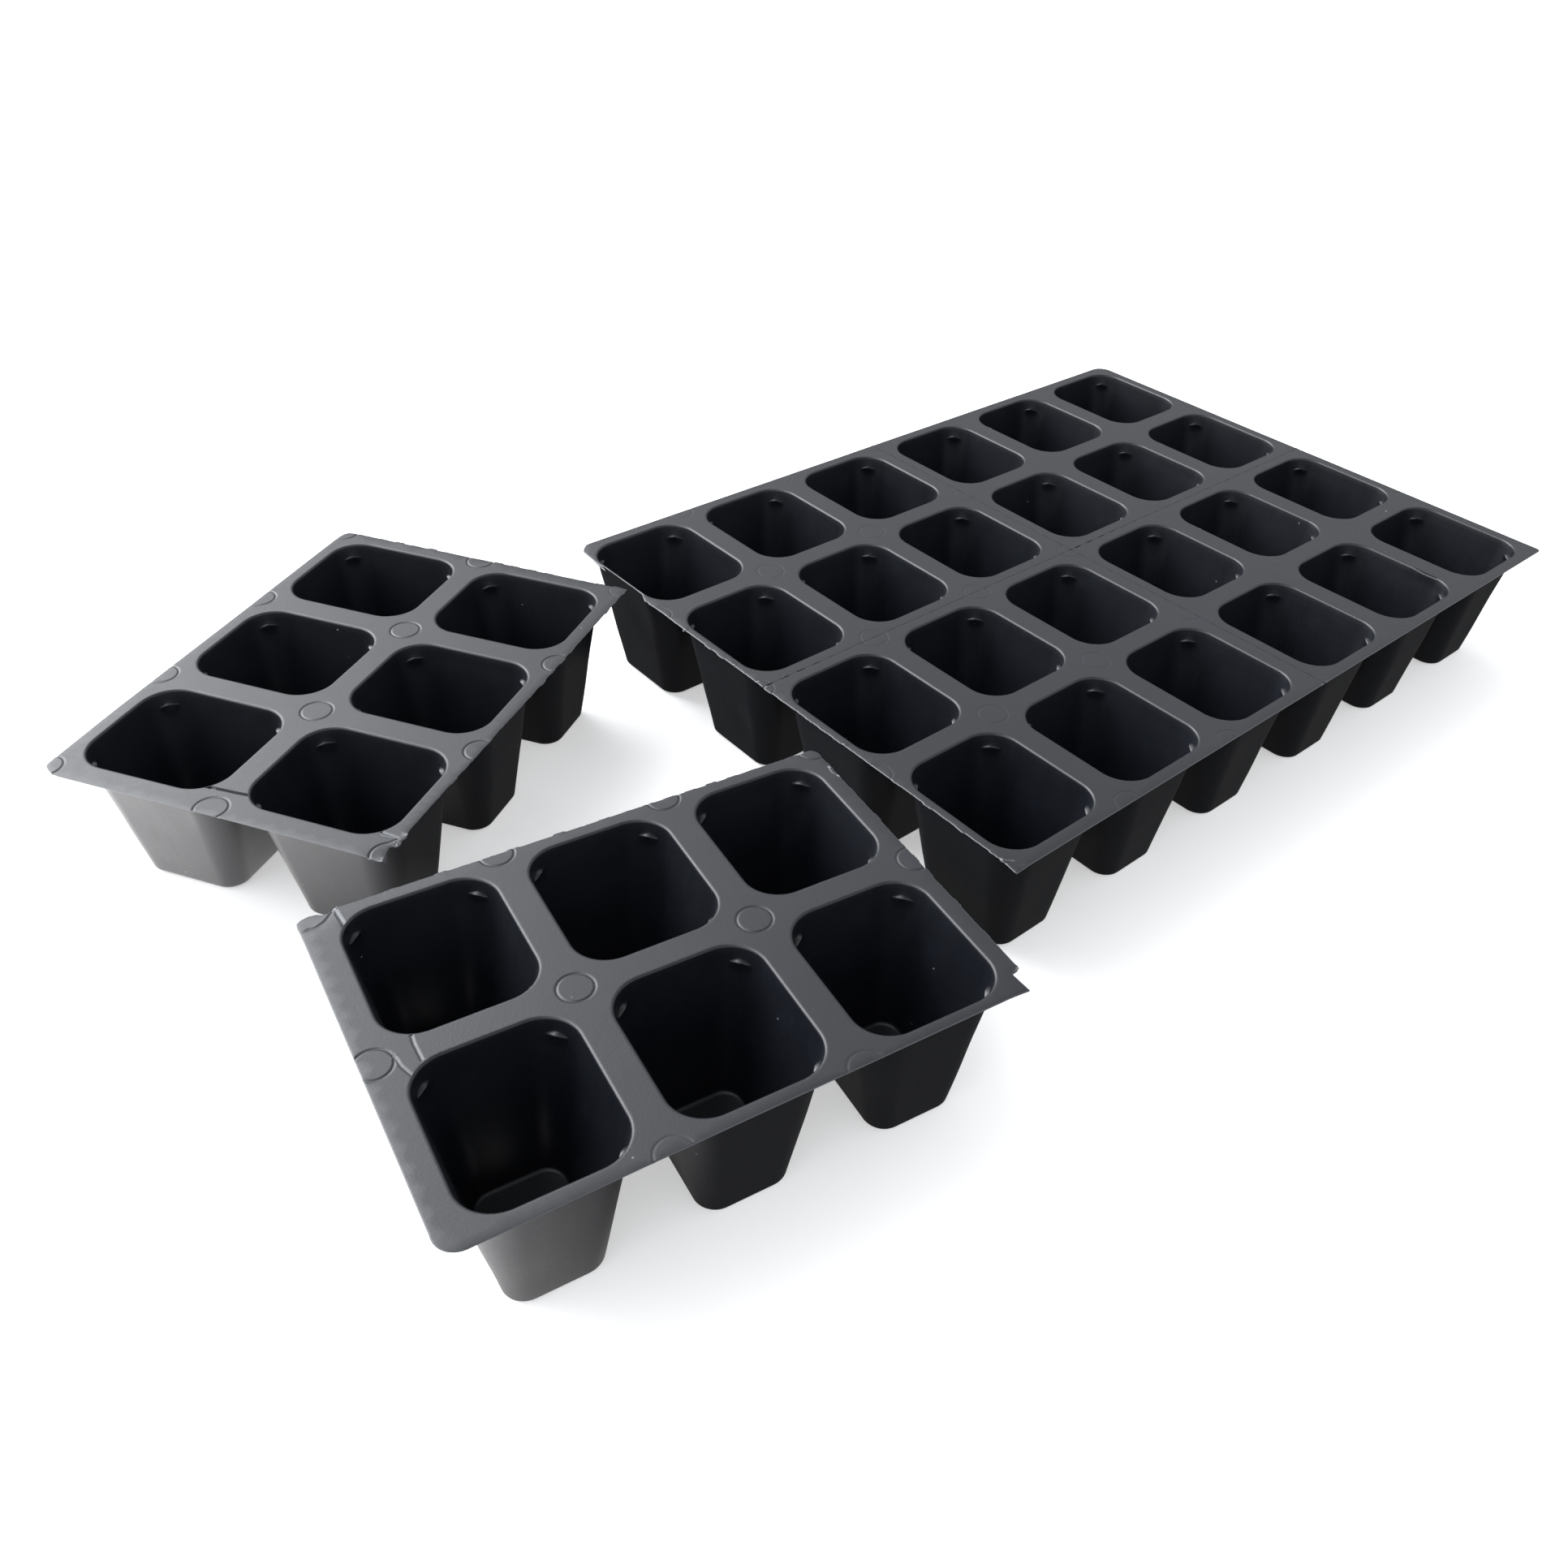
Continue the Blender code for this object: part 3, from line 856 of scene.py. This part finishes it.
# %% Sockets that take part in sums
class Value:
    """A shader socket that can be used in a Python expression."""

    def __init__(self, tree, socket):
        self.tree, self.socket = tree, socket

    def math(self, operation, first, second):
        return self.tree.node("ShaderNodeMath", {"operation": operation}, {0: first, 1: second})

    def __add__(self, other):
        return self.math("ADD", self, other)

    def __radd__(self, other):
        return self.math("ADD", other, self)

    def __mul__(self, other):
        return self.math("MULTIPLY", self, other)

    def __rmul__(self, other):
        return self.math("MULTIPLY", other, self)

    def __sub__(self, other):
        return self.math("SUBTRACT", self, other)

    def __rsub__(self, other):
        return self.math("SUBTRACT", other, self)

    def rise(self, low, high):
        """0 below low, 1 above high, and a soft slope between. It falls if low is above high."""
        start, end = (low, high) if low < high else (high, low)
        soft = self.tree.node("ShaderNodeMapRange", {"interpolation_type": "SMOOTHSTEP"},
                              {"Value": self, "From Min": start, "From Max": end})
        return soft if low < high else 1 - soft


class Tree:
    """A node tree that nodes are added to."""

    def __init__(self, node_tree):
        self.nodes, self.links = node_tree.nodes, node_tree.links

    def set(self, socket, value):
        if isinstance(value, Value):
            self.links.new(value.socket, socket)
        else:
            socket.default_value = value

    def node(self, kind, settings=None, inputs=None, output=None):
        """Adds one node and returns its first output, or the one named."""
        node = self.nodes.new(kind)
        for name, value in (settings or {}).items():
            setattr(node, name, value)
        usable = [socket for socket in node.inputs if socket.enabled]
        for name, value in (inputs or {}).items():
            socket = usable[name] if isinstance(name, int) \
                else next(s for s in usable if s.name == name)
            self.set(socket, value)
        given = [socket for socket in node.outputs if socket.enabled]
        return Value(self, next(s for s in given if output in (None, s.name)))

    def mix(self, share, first, second):
        """A colour between two others."""
        first, second = (c if isinstance(c, Value) else (*c, 1) for c in (first, second))
        return self.node("ShaderNodeMix", {"data_type": "RGBA"},
                         {"Factor": share, "A": first, "B": second}, "Result")


class Finish(Tree):
    """One material. Constants go straight to its shader's own sockets."""

    def __init__(self, name, **constants):
        self.material = bpy.data.materials.new(name)
        self.material.use_nodes = True
        super().__init__(self.material.node_tree)
        self.shader = self.nodes["Principled BSDF"]
        for socket, value in constants.items():
            self.feed(socket.replace("_", " "), value)

    def feed(self, socket, value):
        self.set(self.shader.inputs[socket], value)


print("operators ready:", [name for name in vars(Value) if name.startswith("__r")])

# %% [markdown]
# ## The plastic
#
# The trays are vacuum-formed from black polystyrene sheet. Nearly all the light that comes off
# it is a broad soft gloss, so the colour is almost black and the roughness is in the middle.
# Over that lie four things: slow patches where the sheet cooled faster, a fine grain from the
# mould, faint upright streaks where the walls were drawn down, and a little dust. Creases, nibs
# and torn edges have gone pale. Every free edge, the knife-cut ones too, also gets a pale line
# that is a painted highlight where the edge catches the light. The mesh carries how pale each
# point is in a value of its own.

# %% Mix the plastic
# WHITENED_AND_EDGE_HIGHLIGHT is the pale of whitened plastic, and along free edges it is also a
# painted highlight.
WHITENED_AND_EDGE_HIGHLIGHT = (0.30, 0.31, 0.33)
DUST = (0.55, 0.55, 0.54)


def sheet_finish(name, base, cooler, rough, dusty):
    finish = Finish(name, Metallic=0.0, IOR=1.5, Specular_IOR_Level=0.5)
    place = finish.node("ShaderNodeTexCoord", output="Object")
    noise_of = "ShaderNodeTexNoise"
    patches = finish.node(noise_of, None, {"Vector": place, "Scale": 14.0, "Detail": 4.0}, "Fac")
    clouds = finish.node(noise_of, None, {"Vector": place, "Scale": 95.0, "Detail": 5.0}, "Fac")
    grain = finish.node(noise_of, None, {"Vector": place, "Scale": 1400.0, "Detail": 3.0}, "Fac")
    drawn = finish.node("ShaderNodeMapping", {"vector_type": "POINT"},
                        {"Vector": place, "Scale": (420.0, 420.0, 14.0)})
    streaks = finish.node(noise_of, None, {"Vector": drawn, "Scale": 1.0, "Detail": 2.0}, "Fac")
    specks = {"Vector": place, "Scale": 230.0}
    from_speck = finish.node("ShaderNodeTexVoronoi", {"feature": "F1"}, specks, "Distance")
    which = finish.node("ShaderNodeTexVoronoi", {"feature": "F1"}, specks, "Color")
    chosen = finish.node("ShaderNodeVectorMath", {"operation": "DOT_PRODUCT"},
                         {0: which, 1: (0.5, 0.3, 0.2)}, "Value")
    dust = from_speck.rise(0.11, 0.05) * chosen.rise(1 - dusty, 1 - dusty + 0.02)
    stress = finish.node("ShaderNodeAttribute", {"attribute_name": "stress"}, None, "Fac")

    colour = finish.mix(patches.rise(0.3, 0.7), base, cooler)
    colour = finish.mix(clouds.rise(0.52, 0.75) * 0.35, colour, tuple(2.1 * c for c in base))
    colour = finish.mix(dust * 0.4, colour, DUST)
    # Whitened creases and nibs, and a painted highlight along every free edge.
    colour = finish.mix(stress * 0.7, colour, WHITENED_AND_EDGE_HIGHLIGHT)
    finish.feed("Base Color", colour)
    finish.feed("Roughness", rough + 0.08 * (patches - 0.5) + 0.07 * (clouds - 0.5)
                + 0.12 * (grain - 0.5) + 0.06 * (streaks - 0.5) + 0.1 * stress)
    height = grain + 0.8 * clouds + 0.5 * streaks
    bump = finish.node("ShaderNodeBump", None,
                       {"Strength": 0.26, "Distance": 0.0001, "Height": height}, "Normal")
    finish.feed("Normal", bump)
    print(name, "has", len(finish.nodes), "nodes")
    return finish.material


joined_plastic = sheet_finish("joined_sheet_plastic", (0.0028, 0.0037, 0.0064),
                              (0.0044, 0.0055, 0.0085), 0.39, 0.12)
loose_plastic = sheet_finish("loose_pack_plastic", (0.0030, 0.0039, 0.0066),
                             (0.0048, 0.0059, 0.0089), 0.41, 0.16)

# %% [markdown]
# Each skin rides on its pack's body, takes the place of its plain node, and gets its plastic.

# %% Hand the skins to the frame
for node, piece in pieces.items():
    body = BODY_OF_NODE[node]
    loose = body.startswith("loose")
    piece.data.materials.clear()
    piece.data.materials.append(loose_plastic if loose else joined_plastic)
    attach(piece, body)
    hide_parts(node)
print("skins on bodies:", {piece.name: BODY_OF_NODE[node] for node, piece in pieces.items()})

# %% [markdown]
# ## The studio
#
# The tray stands on a pale floor that sweeps up into a pale wall all round, as a studio's cove
# does. The cove is only a background: it takes the tray's soft shadow, but the plastic doesn't
# mirror it. What the plastic mirrors is the room, and that is built next.

# %% Turn the cove
COVE_FLOOR = 2.6
COVE_SWEEP = 1.6
COVE_TOP = 3.0
COVE_SIDES = 96
COVE_STEPS = 12

cove_profile = [(COVE_FLOOR, 0.0)]
for step in range(1, COVE_STEPS + 1):
    angle = step / COVE_STEPS * math.pi / 2
    cove_profile.append((COVE_FLOOR + COVE_SWEEP * math.sin(angle),
                         COVE_SWEEP * (1 - math.cos(angle))))
cove_profile.append((COVE_FLOOR + COVE_SWEEP, COVE_TOP))

cove_bm = bmesh.new()
centre = cove_bm.verts.new((0, 0, 0))
turns = [2 * math.pi * side / COVE_SIDES for side in range(COVE_SIDES)]
cove_rings = [[cove_bm.verts.new((r * math.cos(turn), r * math.sin(turn), z)) for turn in turns]
              for r, z in cove_profile]
for side in range(COVE_SIDES):
    after = (side + 1) % COVE_SIDES
    cove_bm.faces.new((centre, cove_rings[0][side], cove_rings[0][after]))
    for inner, outer in zip(cove_rings, cove_rings[1:]):
        cove_bm.faces.new((inner[side], outer[side], outer[after], inner[after]))
cove_mesh = bpy.data.meshes.new("cove")
cove_bm.to_mesh(cove_mesh)
cove_bm.free()
cove_mesh.shade_smooth()
cove = bpy.data.objects.new("cove", cove_mesh)
cove.location.z = -0.0002
bpy.context.scene.collection.objects.link(cove)
cove.visible_diffuse = False
cove.visible_glossy = False
cove.visible_shadow = False
cove_finish = Finish("cove_paint", Roughness=0.9, Base_Color=(0.7, 0.7, 0.7, 1),
                     Emission_Color=(1, 1, 1, 1), Emission_Strength=0.45)
cove_mesh.materials.append(cove_finish.material)
print("cove is", 2 * (COVE_FLOOR + COVE_SWEEP), "m across")

# %% [markdown]
# ## The room that the plastic mirrors
#
# Dark glossy plastic shows the room more than itself. The room is drawn on the world: a dim
# ceiling, a large window behind the tray with brighter panes, and a smaller one at the side.
# Each is a soft patch of light round one direction, and the dot product with that direction
# says how near a ray comes to it.

# %% Light the room
world = bpy.data.worlds.new("studio")
bpy.context.scene.world = world
world.use_nodes = True
room = Tree(world.node_tree)
towards = room.node("ShaderNodeTexCoord", output="Generated")


def facing(azimuth, elevation):
    """1 where a ray goes straight to a direction given in degrees, and 0 at right angles."""
    a, e = math.radians(azimuth), math.radians(elevation)
    aim = (math.cos(e) * math.cos(a), math.cos(e) * math.sin(a), math.sin(e))
    return room.node("ShaderNodeVectorMath", {"operation": "DOT_PRODUCT"},
                     {0: towards, 1: aim}, "Value")


DARK_ROOM = 0.04
CEILING = 1.15
CEILING_DIP = 0.7
WINDOW = 4.4
PANES = 6.5
SIDE_WINDOW = 1.5

up = facing(0, 90)
window = facing(108, 38)
glow = (DARK_ROOM
        + CEILING * up.rise(0.05, 0.45) * (1 - CEILING_DIP * up.rise(0.70, 0.96))
        + WINDOW * window.rise(0.70, 1.0)
        + PANES * window.rise(0.88, 1.0)
        + SIDE_WINDOW * facing(165, 45).rise(0.70, 1.0))
backdrop = room.nodes["Background"]
room.set(backdrop.inputs["Strength"], glow)
backdrop.inputs["Color"].default_value = (0.95, 0.97, 1.0, 1)
bpy.context.scene.view_settings.view_transform = "Standard"
bpy.context.scene.view_settings.look = "None"
print("the room has", len(room.nodes), "nodes")

# %% [markdown]
# ## A painted reflection of the table top
#
# The outer walls lean outwards and look down, so they mirror the table just beside them. A
# glowing disc under the tray stands in for that table, and only glossy rays see it. Its emission
# is painted light and shade: bright on the window's side and dim where the tray's own shade falls.

# %% Lay the disc that glows with the table's painted reflection
# TABLE_BRIGHT is the painted pool of light and TABLE_DIM the painted shade that the disc glows with.
TABLE_DIM = 0.12
TABLE_BRIGHT = 4.6
TOWARDS_WINDOW = (-1.0, 0.12, 0.0)
SLOPE_START, SLOPE_END = 0.17, 0.36

table_bm = bmesh.new()
bmesh.ops.create_circle(table_bm, cap_ends=True, segments=COVE_SIDES, radius=COVE_FLOOR)
table_mesh = bpy.data.meshes.new("table_top")
table_bm.to_mesh(table_mesh)
table_bm.free()
table = bpy.data.objects.new("table_top", table_mesh)
table.location.z = -0.0004
bpy.context.scene.collection.objects.link(table)
table.visible_camera = False
table.visible_diffuse = False
table.visible_shadow = False
table_finish = Finish("table_light", Roughness=1.0, Specular_IOR_Level=0.0,
                      Base_Color=(0, 0, 0, 1), Emission_Strength=TABLE_BRIGHT)
# The emission is painted by place: light on the window's side, shade towards and under the tray.
spot = table_finish.node("ShaderNodeTexCoord", output="Object")
painted_light_slope = table_finish.node("ShaderNodeVectorMath", {"operation": "DOT_PRODUCT"},
                          {0: spot, 1: TOWARDS_WINDOW}, "Value")
dim = TABLE_DIM / TABLE_BRIGHT
table_finish.feed("Emission Color", table_finish.mix(painted_light_slope.rise(SLOPE_START, SLOPE_END),
                                                     (dim, dim, dim), (1.0, 0.99, 1.0)))
table_mesh.materials.append(table_finish.material)
print("table is", round(TABLE_BRIGHT / TABLE_DIM), "times brighter on the window's side")

# %% [markdown]
# ## Sizes
#
# The skins must stay inside the frame's box, because the part is ordered by its size.
